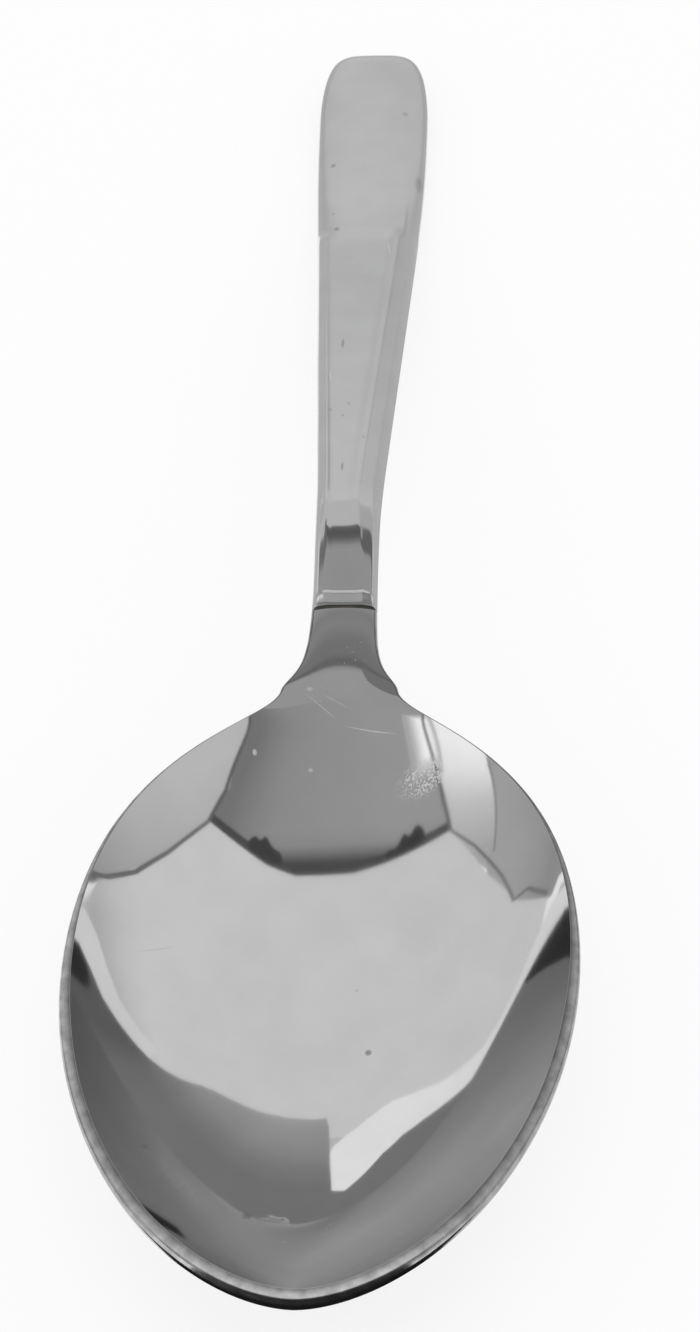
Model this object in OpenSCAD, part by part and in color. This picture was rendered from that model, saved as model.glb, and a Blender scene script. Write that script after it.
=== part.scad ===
// Serving spoon with an egg-shaped bowl and a hollow handle.
// The bowl is forged in one piece with its shank and tang. The handle is two pressed shells, joined
// along their edges, brazed to the shank's shoulder and filled round the tang.
// X is across the spoon, Y runs from the bowl's tip to the handle's end and Z is up from the table.
// Lengths are in millimetres, and stations are measured along Y from the bowl's tip.

/* [Bowl] */
// Width of the bowl at its widest place
bowl_w = 58.8; // [50:0.2:68]
// From the tip to the widest place
bowl_front_l = 40.4; // [34:0.2:50]
// From the widest place to where the two sides would meet
bowl_back_l = 35.8; // [30:0.2:44]
// Depth of the hollow below its rim
bowl_depth = 14; // [9:0.5:20]
// Metal at the bottom of the bowl
bowl_wall = 1.8; // [1.2:0.1:2.6]
// Width of the rim at the bowl's sides
rim_w = 1.4; // [0.8:0.1:2]
// Width of the rim at the tip
rim_tip_w = 1.7; // [0.8:0.1:2.4]
// Height of the rim's outer side
rim_h = 1.4; // [0.8:0.1:1.8]
// Depth of the flat that wear has left under the bowl
rest_flat_d = 0.12; // [0.05:0.01:0.25]
// How far the bowl is turned sideways against the handle, in degrees
bowl_turn = 1.8; // [0:0.1:4]
// From the step to the end of that turn, up the handle
turn_end_l = 13; // [4:0.5:24]
// Length over which the spoon turns
turn_l = 16.5; // [8:0.5:24]

/* [Shank and tang] */
// Length of the shank, from the bowl to the handle's step
shank_l = 11; // [8:0.5:18]
// Width of the shank at the step
shank_w = 7.8; // [7:0.1:11]
// Height of the shank's sides at the step
shank_side_h = 1.8; // [1.2:0.1:2.6]
// Rise of the shank's rounded top over its sides
shank_top_h = 0.5; // [0.2:0.1:1]
// Drop of the shank's rounded underside below its sides
shank_under_h = 0.9; // [0.4:0.1:1.4]
// Length of the tang inside the handle
tang_l = 44; // [30:1:60]
// Width of the tang at the shank
tang_w = 5.2; // [4:0.1:6]
// Width of the tang at its end
tang_end_w = 3.6; // [3:0.1:4]
// Thickness of the tang
tang_t = 1.3; // [1:0.1:1.5]

/* [Handle] */
// Length of the handle, from the step to its end
handle_l = 131.4; // [100:0.2:160]
// Width of the handle at its widest place
handle_w = 17.6; // [14:0.1:24]
// Length of the rounded end, past the widest place
handle_end_l = 14.2; // [10:0.2:26]
// Rise of the front shell over the joint between the shells
front_h = 2.5; // [2.2:0.1:3.4]
// Drop of the back shell below the joint between the shells
back_h = 2.4; // [2.2:0.1:3.4]
// Thickness of the pressed sheet
sheet_t = 0.7; // [0.5:0.05:0.9]
// Length of the sloped face at the step
step_l = 1.4; // [0.8:0.1:2.4]
// Height of the front shell above the shank at the foot of the step
step_foot_h = 0.25; // [0.15:0.05:0.4]
// Length over which the handle's end rolls off
end_roll_l = 2.6; // [1.6:0.1:4]

/* [Panel on the front] */
// Depth of the panel below its creases
panel_d = 0.2; // [0.1:0.05:0.4]
// Width of the bevel on the left of the panel
bevel_left_w = 1.3; // [1:0.1:2.4]
// Width of the bevel on the right of the panel
bevel_right_w = 3; // [1.6:0.1:3.4]
// Width of both bevels at the step
bevel_neck_w = 1.7; // [1:0.1:2.2]
// From the handle's end to the top of the panel
panel_top_l = 46.9; // [36:0.1:66]
// Length over which the panel fades out at its top
panel_fade_l = 4; // [2:0.5:10]

/* [Side profile] */
// Slope of the rim up towards the handle, in degrees
rim_angle = 2.2; // [0:0.1:4]
// Bend up along the back of the bowl, in degrees
bowl_bend = 4.1; // [0:0.1:8]
// Bend up at the shank, in degrees
shank_bend = 17.2; // [8:0.1:24]
// Length of the bend at the shank
shank_bend_l = 20; // [14:1:26]
// From the step to the start of the handle's crest
crest_start_l = 1.2; // [0.4:0.2:14]
// Length of the handle's crest
crest_l = 18; // [12:1:50]
// Bend that levels the handle towards its end, in degrees
level_bend = 18; // [4:0.5:22]
// Length of that bend
level_l = 56.2; // [30:0.2:70]

/* [Joints] */
// Thickness of the braze at the shank's shoulder
braze_t = 0.3; // [0.2:0.05:0.5]
// Depth of the braze's groove below the shank's surface
braze_groove_d = 0.1; // [0.05:0.05:0.2]
// Clearance between the edges of the two shells
seam_gap = 0.02; // [0.01:0.01:0.06]
// Clearance between the filler, the shells and the tang
filler_gap = 0.1; // [0.08:0.01:0.12]
// Length of filler past the end of the tang
filler_past_l = 5; // [3:0.5:10]

/* [Fineness] */
// Rows along the bowl
bowl_rows = 36; // [24:1:48]
// Rows along the handle
handle_rows = 54; // [44:1:64]
// Columns across the bowl, an even number
bowl_columns = 26; // [18:2:34]
// Rows along the shank
shank_rows = 6; // [4:1:10]
// Rows along the tang
tang_rows = 16; // [12:1:24]
// Rows along the filler
filler_rows = 20; // [16:1:30]
// Columns across the handle, an even number
handle_columns = 18; // [14:2:24]

/* [Hidden] */
// Places along the handle where its height over the table is tried
rest_rows = 90;
// Stations along the spoon
close_s = bowl_front_l + bowl_back_l;
step_s = close_s + shank_l;
spoon_l = step_s + handle_l;
shell_s = step_s + braze_t;
filler_s = shell_s + step_l;
tang_s = step_s + tang_l;
wide_s = spoon_l - handle_end_l;
panel_s = spoon_l - panel_top_l;
// Roundness of the outline: 2 is an ellipse, and less is more pointed
bowl_front_roundness = 1.76;
bowl_back_roundness = 1.28;
handle_end_squareness = 6.2;
// Roundness of the bowl's section: 2 is a parabola, and more is flatter at the bottom
bowl_section_roundness = 2.3;
// Roundness of the shank's top and underside
shank_roundness = 2.4;
// How softly the bowl's sides run into the shank, as a share of the bowl's half-width squared
shank_blend_share = 0.104;
// Where the outline takes up that blend, as shares of the bowl's front
blend_start_share = 0.25;
// Where the first and last rows leave the rounded ends, as shares of the half-widths
tip_corner_share = 0.52;
end_corner_share = 0.86;
// Ease at both ends of the handle's straight taper, as a share of its length
taper_ease_share = 0.21;
// The rounded side of the front shell: its share of the bevel's width and of the shell's rise
side_round_width_share = 0.35;
side_round_rise_share = 0.55;
// Width of the slope inside the creases, as a share of the bevels' width
panel_slope_share = 0.6;
// Widest the filler may be, as a share of the hollow's width
filler_width_share = 0.95;
// Where the rim starts to narrow towards the shank, as a share of the bowl's front
rim_fade_share = 0.7;
// The rim's rounding: where it leaves the top, as shares of the rim's width and of its side's height,
// and where it meets the side, as a share of that height
rim_flat_width_share = 0.6;
rim_flat_height_share = 0.96;
rim_side_height_share = 0.5;
// What is left of the handle's thickness where its end rolls off, as a share
roll_keep_share = 0.4;
// How much closer the rows lie towards the handle's end: 1 is even
row_crowding = 1.1;
// How softly the hollow runs out on the shank, as a share of the bowl's depth
hollow_run_out_share = 0.075;
// Half-widths
bowl_hw = bowl_w / 2;
shank_hw = shank_w / 2;
handle_hw = handle_w / 2;
tip_row_hw = bowl_hw * tip_corner_share;
end_row_hw = handle_hw * end_corner_share;
// Share of the square term behind the widest place, for which the curve runs on without a break
back_square_share = bowl_back_roundness / bowl_front_roundness * pow(bowl_back_l / bowl_front_l, 2);
// The joint between the shells lies at the middle of the shank's side
seam_drop = shank_side_h / 2;

// Smooth step from 0 to 1
function ramp(t) = let (u = min(max(t, 0), 1)) u * u * (3 - 2 * u);
// The area under that step
function ramp_area(t) = t <= 0 ? 0 : t >= 1 ? t - 0.5 : pow(t, 3) * (1 - t / 2);
// Rise at station s of a bend that starts at station a, is l long and ends at a slope of 1
function bend(s, a, l) = l * ramp_area((s - a) / l);
// Rise from 0 to 1 with a straight middle and ease e at both ends
function taper(t, e) =
    let (u = min(max(t, 0), 1))
    (u < e ? u * u / (2 * e) : u > 1 - e ? 1 - e - pow(1 - u, 2) / (2 * e) : u - e / 2) / (1 - e);
// Power that keeps the sign
function signed_pow(v, n) = sign(v) * pow(abs(v), n);

// Square of the bowl's half-width, negative behind the place where its sides would meet
function egg_sq(s) =
    s < bowl_front_l
    ? pow(bowl_hw, 2) * pow(max(0, 1 - pow(1 - max(s, 0) / bowl_front_l, 2)), 2 / bowl_front_roundness)
    : let (v = (s - bowl_front_l) / bowl_back_l)
      pow(bowl_hw, 2) * signed_pow(
          1 - back_square_share * v * v - (1 - back_square_share) * pow(v, 4), 2 / bowl_back_roundness);
// The same, run smoothly into the shank
function blend_sq(s) =
    let (q = egg_sq(s), n = pow(shank_hw, 2), d = shank_blend_share * pow(bowl_hw, 2))
    (q + n + sqrt(pow(q - n, 2) + d * d)) / 2;
function bowl_half(s) =
    s >= bowl_front_l
    ? sqrt(blend_sq(s))
    : let (q = egg_sq(s), k = ramp((s / bowl_front_l - blend_start_share) / (1 - blend_start_share)))
      sqrt(max(0, q + k * (blend_sq(s) - q)));
// Station of the bowl's outline at half-width x, in front of the blend
function bowl_outline_s(x) =
    bowl_front_l * (1 - sqrt(max(0, 1 - pow(min(abs(x) / bowl_hw, 1), bowl_front_roundness))));
// Half-width of the handle by itself
function grip_half(s) =
    s > wide_s
    ? handle_hw * pow(max(0, 1 - pow((s - wide_s) / handle_end_l, 2)), 1 / handle_end_squareness)
    : shank_hw + (handle_hw - shank_hw) * taper((s - step_s) / (wide_s - step_s), taper_ease_share);
// Half-width of the whole outline
function half(s) =
    s < step_s ? bowl_half(s) : sqrt(max(0, pow(bowl_half(s), 2) - pow(shank_hw, 2) + pow(grip_half(s), 2)));
// Station of the handle's outline at half-width x
function end_outline_s(x) =
    wide_s + handle_end_l * sqrt(max(0, 1 - pow(min(abs(x) / handle_hw, 1), handle_end_squareness)));

// Height of the edge, before the spoon is set on the table: straight runs joined by bends
function rise(s) =
    s * tan(rim_angle) + tan(bowl_bend) * bend(s, bowl_front_l, close_s - bowl_front_l)
    + tan(shank_bend) * bend(s, close_s, shank_bend_l);
function level(s) = tan(level_bend) * bend(s, spoon_l - level_l - end_roll_l, level_l);
function crest(s) = bend(s, step_s + crest_start_l, crest_l);
touch_s = spoon_l - end_roll_l;
rim_foot = -rest_flat_d - min([for (s = [0:bowl_front_l / bowl_rows:close_s]) rise(s) + under(0, s)]);
// The handle falls from its crest until its lowest place lies on the table
crest_fall = min([for (i = [1:rest_rows])
    let (s = step_s + (touch_s - step_s) * (1 + i / rest_rows) / 2)
    (rim_foot + rise(s) + level(s) - seam_drop - seam_gap / 2 - back_h) / crest(s)]);
function edge(s) = rim_foot + rise(s) + level(s) - crest_fall * crest(s);
function seam(s) = edge(s) - seam_drop;
// Sideways place of the centre line, which is 0 at the widest place of the bowl
function turned(s) = -tan(bowl_turn) * bend(step_s + turn_end_l - s, 0, turn_l);
function centre(s) = turned(s) - turned(bowl_front_l);

// Share of the bowl's full depth at station s on the centre line
function open_share(s) =
    let (m = close_s / 2, a = 1 - pow((s - m) / m, 2), d = hollow_run_out_share)
    s < m ? max(a, 0) : a + ramp((s - m) / m) * ((a + sqrt(a * a + d * d)) / 2 - a);
// Depth share at the place c of the half-width, from -1 to 1
function hollow(c, s) = 1 - pow(1 - open_share(s) * (1 - c * c), bowl_section_roundness / 2);
// How far the shank's shape has taken over from the bowl's
function shank_share(s) = ramp((s - bowl_front_l) / (step_s - bowl_front_l));
function crown(c) = 1 - pow(abs(c), shank_roundness);
// Top of the bowl and shank above the edge, and underside below it
function top(c, s) = shank_share(s) * shank_top_h * crown(c) - bowl_depth * hollow(c, s);
function side_h(s) = rim_h + (shank_side_h - rim_h) * shank_share(s);
function under(c, s) =
    -side_h(s) - shank_share(s) * shank_under_h * crown(c) - (bowl_depth + bowl_wall - rim_h) * hollow(c, s);

// Rise of the front shell's side and bevel, as a share, at d from the edge for a bevel of width w
function bevel(d, w) =
    let (u = min(max(d / w, 0), 1), r = min(u / side_round_width_share, 1))
    side_round_rise_share * (1 - pow(1 - r, 2)) + (1 - side_round_rise_share) * u;
function bevel_w(s, w) = bevel_neck_w + (w - bevel_neck_w) * ramp((s - shell_s) / crest_l);
function panel_on(s) = 1 - ramp((s - panel_s) / panel_fade_l + 0.5);
// Sunk share of the panel at d inside a crease
function sunk(d, w) = ramp(d / (w * panel_slope_share));
// Shape of the front shell across its width, with its panel and without
function panelled(x, w, s) =
    let (l = bevel_w(s, bevel_left_w), r = bevel_w(s, bevel_right_w))
    bevel(w + x, l) * bevel(w - x, r) - panel_d / front_h * sunk(w + x - l, l) * sunk(w - x - r, r);
function pillow(c) = pow(max(0, 1 - pow(abs(c), 4)), 0.5);
function roll_off(s) = sqrt(max(0, 1 - pow(max(0, (s - touch_s) / end_roll_l), 2)));
function end_share(s) = roll_keep_share + (1 - roll_keep_share) * roll_off(s);
function front_shape(c, s) =
    let (w = half(s), p = panel_on(s))
    (p * panelled(c * w, w, s) + (1 - p) * pillow(c)) * end_share(s);
// Rise of the front shell, which starts low at the step
function front_rise(s) =
    let (foot = seam_drop + shank_top_h + step_foot_h)
    foot + (front_h - foot) * ramp((s - shell_s) / step_l);
function back_shape(c, s) = pillow(c) * end_share(s);

// A point of the spoon at x from the centre line
function place(x, s, z) = [x + centre(s), s - spoon_l / 2, z];
// Where x lies across the outline at station s, from -1 to 1
function across(x, s) = let (w = half(s)) w > 0 ? min(max(x / w, -1), 1) : 0;

// The rows curve at the tip and at the handle's end, so that the first and last follow the outline
tip_row_s = bowl_outline_s(tip_row_hw);
end_row_s = end_outline_s(end_row_hw);
function tip_bulge(t) = (tip_row_s - bowl_outline_s(t * tip_row_hw)) / tip_row_s;
function end_bulge(t) = (end_outline_s(t * end_row_hw) - end_row_s) / (spoon_l - end_row_s);
// Station of row q at its ends, and at place t across it, with q from 0 to 1
function bowl_row(q) = tip_row_s + (close_s - tip_row_s) * q;
function bowl_s(q, t) = bowl_row(q) - tip_row_s * pow(1 - q, 2) * tip_bulge(t);
function handle_row(q) = end_row_s - (end_row_s - shell_s - step_l) * pow(1 - q, row_crowding);
function handle_s(q, t) = handle_row(q) + (spoon_l - end_row_s) * pow(q, 4) * end_bulge(t);

// The solid between two grids of equal size, one over the other, walled all round by way of the loops
function border_index(n, m) = concat(
    [for (j = [0:m]) j],
    [for (i = [1:n]) i * (m + 1) + m],
    [for (j = [m - 1:-1:0]) n * (m + 1) + j],
    [for (i = [n - 1:-1:1]) i * (m + 1)]);
function flat_list(g) = [for (row = g) for (p = row) p];
// A loop between the borders of two grids: out and up are shares of the way from the upper border to
// the lower one seen from above, and of the height over the lower one
function corner_loop(top_grid, bottom_grid, out, up) =
    let (upper = flat_list(top_grid), lower = flat_list(bottom_grid))
    [for (i = border_index(len(top_grid) - 1, len(top_grid[0]) - 1))
        let (a = upper[i], b = lower[i])
        [a.x + (b.x - a.x) * out, a.y + (b.y - a.y) * out, b.z + (a.z - b.z) * up]];
module skinned(top_grid, bottom_grid, loops = []) {
    n = len(top_grid) - 1;
    m = len(top_grid[0]) - 1;
    size = (n + 1) * (m + 1);
    around = 2 * (n + m);
    border = border_index(n, m);
    // Index of place k on ring r: ring 0 is the top grid's border and the last is the bottom grid's
    function ring(r, k) =
        let (q = k % around)
        r == 0 ? border[q] : r > len(loops) ? size + border[q] : 2 * size + (r - 1) * around + q;
    top_faces = [for (i = [0:n - 1]) for (j = [0:m - 1])
        let (a = i * (m + 1) + j, b = a + 1, c = a + m + 2, d = a + m + 1)
        for (f = [[a, c, b], [a, d, c]]) f];
    bottom_faces = [for (f = top_faces) [f[0] + size, f[2] + size, f[1] + size]];
    wall_faces = [for (r = [0:len(loops)]) for (k = [0:around - 1]) for (f = [
        [ring(r, k), ring(r, k + 1), ring(r + 1, k)],
        [ring(r, k + 1), ring(r + 1, k + 1), ring(r + 1, k)]]) f];
    polyhedron(
        concat(flat_list(top_grid), flat_list(bottom_grid), flat_list(loops)),
        concat(top_faces, bottom_faces, wall_faces));
}

// The solid between outer rings and the inner rings of a hole, which is blind or runs through.
// A ring runs along the top from left to right and back along the underside.
module sleeve(outer, inner, blind) {
    count = len(outer[0]);
    m = count / 2 - 1;
    o = len(outer);
    n = len(inner);
    function at(r, k) = r * count + k % count;
    // Two triangles of a four-sided face
    function split(a, b, c, d) = [[a, b, c], [a, c, d]];
    outer_walls = [for (r = [0:o - 2]) for (k = [0:count - 1])
        for (f = split(at(r, k), at(r + 1, k), at(r + 1, k + 1), at(r, k + 1))) f];
    inner_walls = [for (r = [o:o + n - 2]) for (k = [0:count - 1])
        for (f = split(at(r, k), at(r, k + 1), at(r + 1, k + 1), at(r + 1, k))) f];
    start_face = [for (k = [0:count - 1])
        for (f = split(at(0, k), at(0, k + 1), at(o, k + 1), at(o, k))) f];
    through_face = [for (k = [0:count - 1])
        for (f = split(at(o - 1, k), at(o + n - 1, k), at(o + n - 1, k + 1), at(o - 1, k + 1))) f];
    closed_faces = [for (j = [0:m - 1]) let (b = count - 1 - j) for (f = concat(
        split(at(o - 1, j), at(o - 1, b), at(o - 1, b - 1), at(o - 1, j + 1)),
        split(at(o + n - 1, j), at(o + n - 1, j + 1), at(o + n - 1, b - 1), at(o + n - 1, b)))) f];
    polyhedron(
        concat(flat_list(outer), flat_list(inner)),
        concat(outer_walls, inner_walls, start_face, blind ? closed_faces : through_face));
}
function ring_of(columns, s, w, upper, lower) = concat(
    [for (t = columns) place(t * w, s, upper(t))],
    [for (i = [len(columns) - 1:-1:0]) place(columns[i] * w, s, lower(columns[i]))]);

// The hollow's outline is the outer one, drawn in by the rim
function drawn_in(s) = s < bowl_front_l ? rim_tip_w + s * (bowl_front_l - rim_tip_w) / bowl_front_l : s;
rim_fade_s = rim_fade_share * bowl_front_l;
function drawn_in_share(s) = 1 - rim_w / bowl_hw * (1 - ramp((s - rim_fade_s) / (close_s - rim_fade_s)));
function tang_half(s) = (tang_w + (tang_end_w - tang_w) * (s - step_s) / tang_l) / 2;
// Stations of the tang, and of the hole round it
tang_stations = concat(
    [step_s, shell_s],
    [for (i = [0:tang_rows]) filler_s + (tang_s - filler_s) * i / tang_rows]);

module bowl() {
    columns = [for (j = [0:bowl_columns]) 2 * j / bowl_columns - 1];
    shank_stations = [for (i = [1:shank_rows]) close_s + shank_l * i / shank_rows];
    top_grid = concat(
        [for (i = [0:bowl_rows]) [for (t = columns)
            let (q = i / bowl_rows, s = bowl_s(q, t), x = t * half(bowl_row(q)), s_in = drawn_in(s))
            place(x * drawn_in_share(s), s_in, edge(s_in) + top(across(x, s), s))]],
        [for (s = shank_stations) [for (t = columns)
            place(t * half(s) * drawn_in_share(s), s, edge(s) + top(t, s))]],
        [for (s = tang_stations) [for (t = columns) place(t * tang_half(s), s, seam(s) + tang_t / 2)]]);
    bottom_grid = concat(
        [for (i = [0:bowl_rows]) [for (t = columns)
            let (q = i / bowl_rows, s = bowl_s(q, t), x = t * half(bowl_row(q)))
            place(x, s, max(0, edge(s) + under(across(x, s), s)))]],
        [for (s = shank_stations) [for (t = columns) place(t * half(s), s, edge(s) + under(t, s))]],
        [for (s = tang_stations) [for (t = columns) place(t * tang_half(s), s, seam(s) - tang_t / 2)]]);
    color([0.72, 0.73, 0.74])
        skinned(top_grid, bottom_grid, [
            corner_loop(top_grid, bottom_grid, rim_flat_width_share, rim_flat_height_share),
            corner_loop(top_grid, bottom_grid, 1, rim_side_height_share)]);
}

// Grids of a shell: side is 1 for the front and -1 for the back, and inset is 0 outside and sheet_t inside
shell_columns = [for (j = [0:handle_columns]) sin(180 * j / handle_columns - 90)];
step_rows = 3;
function shell_z(side, c, s) =
    side > 0 ? (front_rise(s) - sheet_t) * front_shape(c, s) : (back_h - sheet_t) * back_shape(c, s);
function shell_outer_z(side, c, s) = side > 0 ? front_rise(s) * front_shape(c, s) : back_h * back_shape(c, s);
function shell_point(side, inset, x, w, s) =
    let (
        c = across(x, s),
        s_in = shell_s + (s - shell_s) * (spoon_l - inset - shell_s) / (spoon_l - shell_s))
    place(x * (w - inset) / w, s_in,
        seam(s_in) + side * (seam_gap / 2 + (inset > 0 ? shell_z(side, c, s) : shell_outer_z(side, c, s))));
function shell_grid(side, inset) = concat(
    [for (i = [0:step_rows - 1]) let (s = shell_s + step_l * i / step_rows)
        [for (t = shell_columns) shell_point(side, inset, t * half(s), half(s), s)]],
    [for (i = [0:handle_rows]) let (q = i / handle_rows, w = half(handle_row(q)))
        [for (t = shell_columns) shell_point(side, inset, t * w, w, handle_s(q, t))]]);

module handle_front_shell() {
    color([0.8, 0.81, 0.82]) skinned(shell_grid(1, 0), shell_grid(1, sheet_t));
}

module handle_back_shell() {
    color([0.66, 0.67, 0.68]) skinned(shell_grid(-1, sheet_t), shell_grid(-1, 0));
}

// Rings of the hole round the tang
function tang_rings(stations, columns) = [for (s = stations)
    let (h = tang_t / 2 + filler_gap)
    ring_of(
        columns, s, tang_half(min(s, tang_s)) + filler_gap,
        function (t) seam(s) + h, function (t) seam(s) - h)];

module handle_filler() {
    end_s = tang_s + filler_past_l;
    hole_stations = [for (s = tang_stations) if (s >= filler_s) s < tang_s ? s : tang_s + filler_gap];
    columns = [for (t = shell_columns) if (abs(t) < filler_width_share) t];
    outer = [for (i = [0:filler_rows])
        let (s = filler_s + (end_s - filler_s) * i / filler_rows)
        ring_of(
            columns, s, half(s) - sheet_t,
            function (t) seam(s) + shell_z(1, t, s) - filler_gap,
            function (t) seam(s) - shell_z(-1, t, s) + filler_gap)];
    color([0.45, 0.38, 0.3]) sleeve(outer, tang_rings(hole_stations, columns / max(columns)), true);
}

module neck_braze() {
    outer = [for (s = [step_s, shell_s]) ring_of(
        shell_columns, s, shank_hw - braze_groove_d,
        function (t) edge(s) + shank_top_h * crown(t) - braze_groove_d,
        function (t) edge(s) - shank_side_h - shank_under_h * crown(t) + braze_groove_d)];
    color([0.36, 0.34, 0.3]) sleeve(outer, tang_rings([step_s, shell_s], shell_columns), false);
}

bowl();
handle_front_shell();
handle_back_shell();
handle_filler();
neck_braze();
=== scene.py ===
"""Serving spoon of polished steel: an egg-shaped bowl with its shank, and a hollow handle of two shells.

The spoon lies on a pale table. X is across it, Y runs from the bowl's tip to the handle's end, Z is up.
Stations are millimetres along the spoon from the bowl's tip, as in the part's source.
"""
import math

import bpy
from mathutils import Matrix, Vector


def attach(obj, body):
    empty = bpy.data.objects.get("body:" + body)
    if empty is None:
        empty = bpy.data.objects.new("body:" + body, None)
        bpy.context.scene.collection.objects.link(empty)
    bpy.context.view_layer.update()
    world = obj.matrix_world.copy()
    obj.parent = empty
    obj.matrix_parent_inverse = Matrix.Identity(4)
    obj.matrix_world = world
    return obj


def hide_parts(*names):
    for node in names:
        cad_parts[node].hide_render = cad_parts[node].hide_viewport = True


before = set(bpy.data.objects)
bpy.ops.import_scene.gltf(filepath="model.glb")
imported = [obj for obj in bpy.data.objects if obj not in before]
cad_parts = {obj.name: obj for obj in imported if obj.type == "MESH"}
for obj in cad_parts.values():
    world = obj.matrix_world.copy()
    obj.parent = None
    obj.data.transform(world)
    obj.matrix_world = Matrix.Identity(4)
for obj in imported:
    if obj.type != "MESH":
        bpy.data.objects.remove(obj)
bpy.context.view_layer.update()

MM = 0.001

# Sizes as in the part's source, in millimetres, and in degrees for angles, turns and bends
BOWL_HALF = 29.4
BOWL_FRONT = 40.4
BOWL_BACK = 35.8
BOWL_DEPTH = 14
BOWL_WALL = 1.8
RIM_WIDTH = 1.4
RIM_TIP_WIDTH = 1.7
RIM_HEIGHT = 1.4
REST_FLAT = 0.12
BOWL_TURN = 1.8
TURN_END = 13
TURN_LENGTH = 16.5
SHANK_LENGTH = 11
SHANK_HALF = 3.9
SHANK_SIDE = 1.8
SHANK_TOP = 0.5
SHANK_UNDER = 0.9
TANG_LENGTH = 44
TANG_HALF = 2.6
TANG_END_HALF = 1.8
TANG_THICKNESS = 1.3
HANDLE_LENGTH = 131.4
HANDLE_HALF = 8.8
HANDLE_END = 14.2
FRONT_HEIGHT = 2.5
BACK_HEIGHT = 2.4
SHEET = 0.7
STEP_LENGTH = 1.4
STEP_FOOT = 0.25
END_ROLL = 2.6
PANEL_DEPTH = 0.2
BEVEL_LEFT = 1.3
BEVEL_RIGHT = 3
BEVEL_NECK = 1.7
PANEL_TOP = 46.9
PANEL_FADE = 4
RIM_ANGLE = 2.2
BOWL_BEND = 4.1
SHANK_BEND = 17.2
SHANK_BEND_LENGTH = 20
CREST_START = 1.2
CREST_LENGTH = 18
LEVEL_BEND = 18
LEVEL_LENGTH = 56.2
BRAZE = 0.3
SEAM_GAP = 0.02

# Exponents of its round outlines and sections, and shares of the sizes above
FRONT_ROUNDNESS = 1.76
BACK_ROUNDNESS = 1.28
END_SQUARENESS = 6.2
SECTION_ROUNDNESS = 2.3
SHANK_ROUNDNESS = 2.4
PILLOW_ROUNDNESS = 4
SHANK_BLEND = 0.104
BLEND_START = 0.25
TIP_CORNER = 0.52
END_CORNER = 0.86
TAPER_EASE = 0.21
SIDE_ROUND_WIDTH = 0.35
SIDE_ROUND_RISE = 0.55
PANEL_SLOPE = 0.6
RIM_FADE = 0.7
ROLL_KEEP = 0.4
ROW_CROWDING = 1.1
RUN_OUT = 0.075

# Stations and half-widths that follow from them
CLOSE = BOWL_FRONT + BOWL_BACK
STEP = CLOSE + SHANK_LENGTH
SPOON = STEP + HANDLE_LENGTH
SHELL = STEP + BRAZE
WIDEST = SPOON - HANDLE_END
PANEL = SPOON - PANEL_TOP
TOUCH = SPOON - END_ROLL
SEAM_DROP = SHANK_SIDE / 2
TIP_ROW_HALF = BOWL_HALF * TIP_CORNER
END_ROW_HALF = HANDLE_HALF * END_CORNER
BACK_SQUARE = BACK_ROUNDNESS / FRONT_ROUNDNESS * (BOWL_BACK / BOWL_FRONT) ** 2


# Curves of the spoon
def ramp(t):
    u = min(max(t, 0), 1)
    return u * u * (3 - 2 * u)


def bend(s, start, length):
    """Rise at station s of a bend that ends at a slope of 1."""
    t = (s - start) / length
    if t <= 0:
        return 0
    return length * (t - 0.5 if t >= 1 else t ** 3 * (1 - t / 2))


def slope(degrees):
    return math.tan(math.radians(degrees))


def taper(t, ease):
    u = min(max(t, 0), 1)
    if u < ease:
        risen = u * u / (2 * ease)
    elif u > 1 - ease:
        risen = 1 - ease - (1 - u) ** 2 / (2 * ease)
    else:
        risen = u - ease / 2
    return risen / (1 - ease)


def egg_sq(s):
    """Square of the bowl's half-width, negative behind the place where its sides would meet."""
    if s < BOWL_FRONT:
        return BOWL_HALF ** 2 * max(0, 1 - (1 - max(s, 0) / BOWL_FRONT) ** 2) ** (2 / FRONT_ROUNDNESS)
    v = (s - BOWL_FRONT) / BOWL_BACK
    left = 1 - BACK_SQUARE * v * v - (1 - BACK_SQUARE) * v ** 4
    return BOWL_HALF ** 2 * math.copysign(abs(left) ** (2 / BACK_ROUNDNESS), left)


def blend_sq(s):
    q, n, d = egg_sq(s), SHANK_HALF ** 2, SHANK_BLEND * BOWL_HALF ** 2
    return (q + n + math.sqrt((q - n) ** 2 + d * d)) / 2


def bowl_half(s):
    if s >= BOWL_FRONT:
        return math.sqrt(blend_sq(s))
    q, k = egg_sq(s), ramp((s / BOWL_FRONT - BLEND_START) / (1 - BLEND_START))
    return math.sqrt(max(0, q + k * (blend_sq(s) - q)))


def bowl_outline_s(x):
    return BOWL_FRONT * (1 - math.sqrt(max(0, 1 - min(abs(x) / BOWL_HALF, 1) ** FRONT_ROUNDNESS)))


def grip_half(s):
    if s > WIDEST:
        return HANDLE_HALF * max(0, 1 - ((s - WIDEST) / HANDLE_END) ** 2) ** (1 / END_SQUARENESS)
    return SHANK_HALF + (HANDLE_HALF - SHANK_HALF) * taper((s - STEP) / (WIDEST - STEP), TAPER_EASE)


def half(s):
    if s < STEP:
        return bowl_half(s)
    return math.sqrt(max(0, bowl_half(s) ** 2 - SHANK_HALF ** 2 + grip_half(s) ** 2))


def end_outline_s(x):
    return WIDEST + HANDLE_END * math.sqrt(max(0, 1 - min(abs(x) / HANDLE_HALF, 1) ** END_SQUARENESS))


def rise(s):
    return (s * slope(RIM_ANGLE) + slope(BOWL_BEND) * bend(s, BOWL_FRONT, CLOSE - BOWL_FRONT)
            + slope(SHANK_BEND) * bend(s, CLOSE, SHANK_BEND_LENGTH))


def level(s):
    return slope(LEVEL_BEND) * bend(s, SPOON - LEVEL_LENGTH - END_ROLL, LEVEL_LENGTH)


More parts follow.
